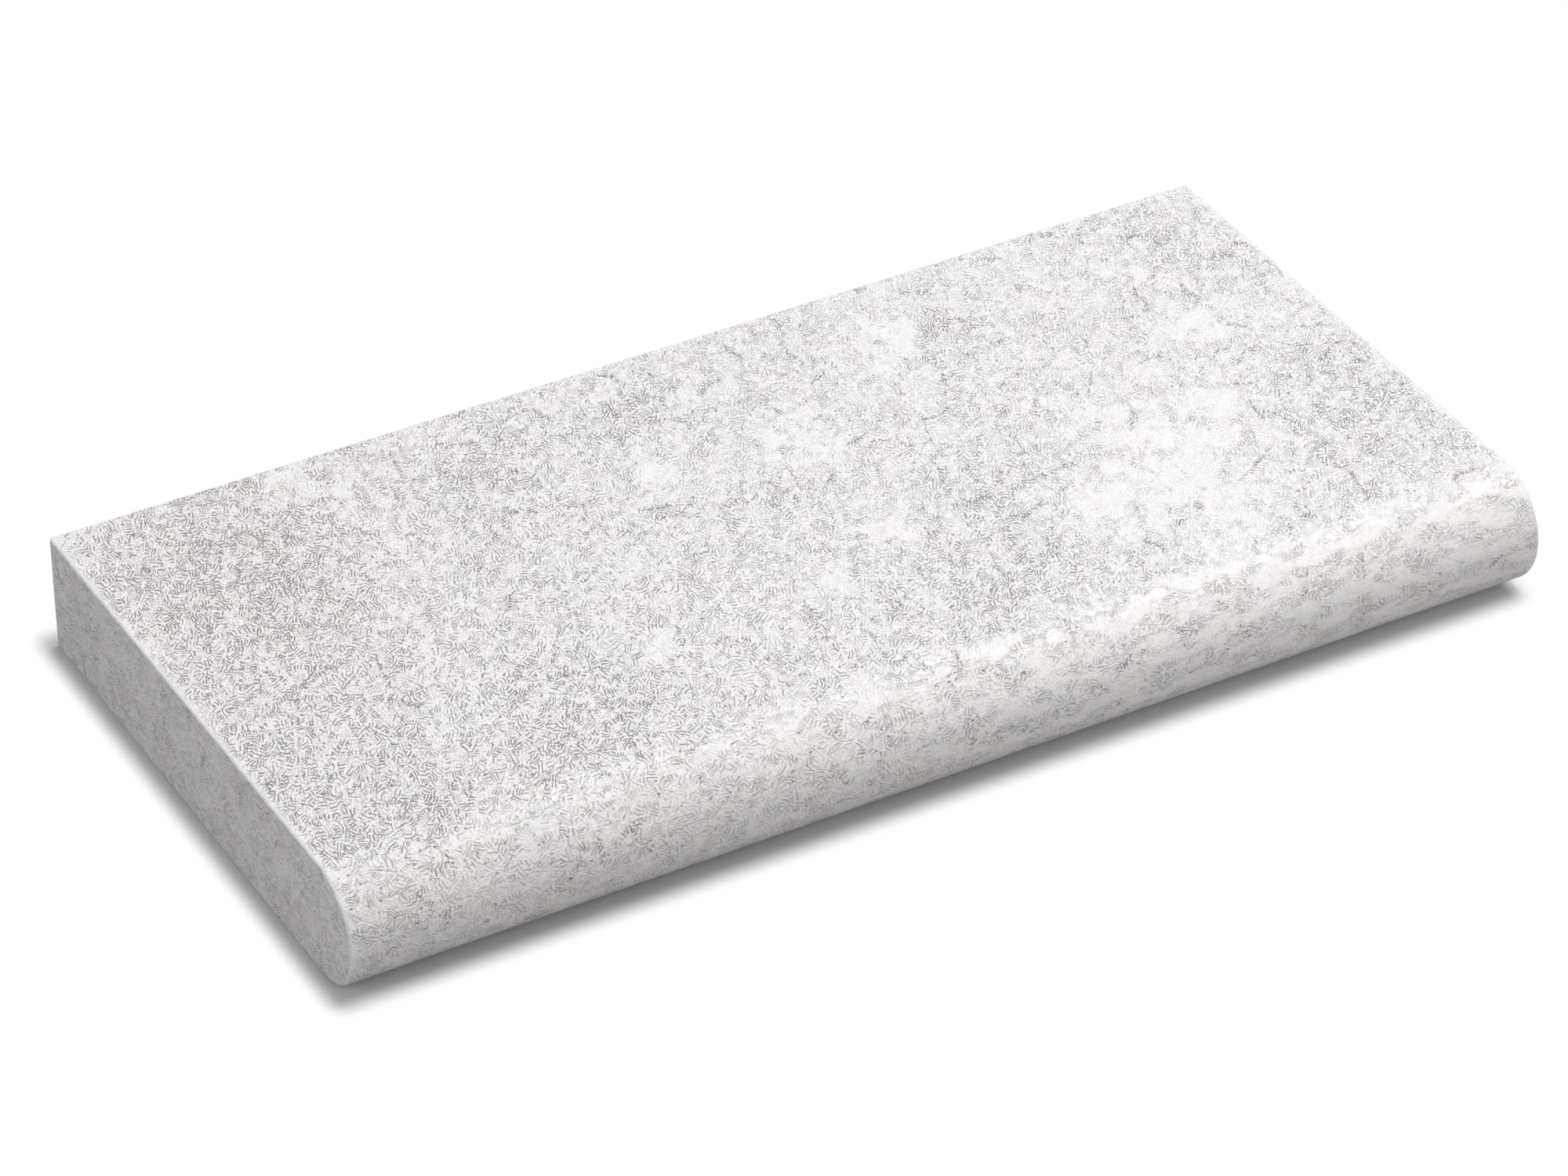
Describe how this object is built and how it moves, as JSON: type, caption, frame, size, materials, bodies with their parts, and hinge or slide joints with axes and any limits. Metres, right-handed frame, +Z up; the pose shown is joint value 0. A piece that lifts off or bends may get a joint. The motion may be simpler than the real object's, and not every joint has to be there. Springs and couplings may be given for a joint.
{
  "type": "bullnose tile",
  "caption": "Thick rectangular stone-look tile with a full half-round nose along one long edge, for finishing the exposed edge of a step, pool rim or ledge.",
  "frame": {"origin": "middle of the tile's length and width, on the underside", "axes": "+X along the nose, the nose towards -Y, +Z up from the bed to the walking face"},
  "size_m": [0.6, 0.3, 0.06],
  "materials": {
    "tile_body": "pale grey-white stone-look body, unglazed, satin, with a fine wrinkled grain"
  },
  "bodies": {
    "root": {"bullnose_tile": "tile_body"}
  },
  "joints": []
}
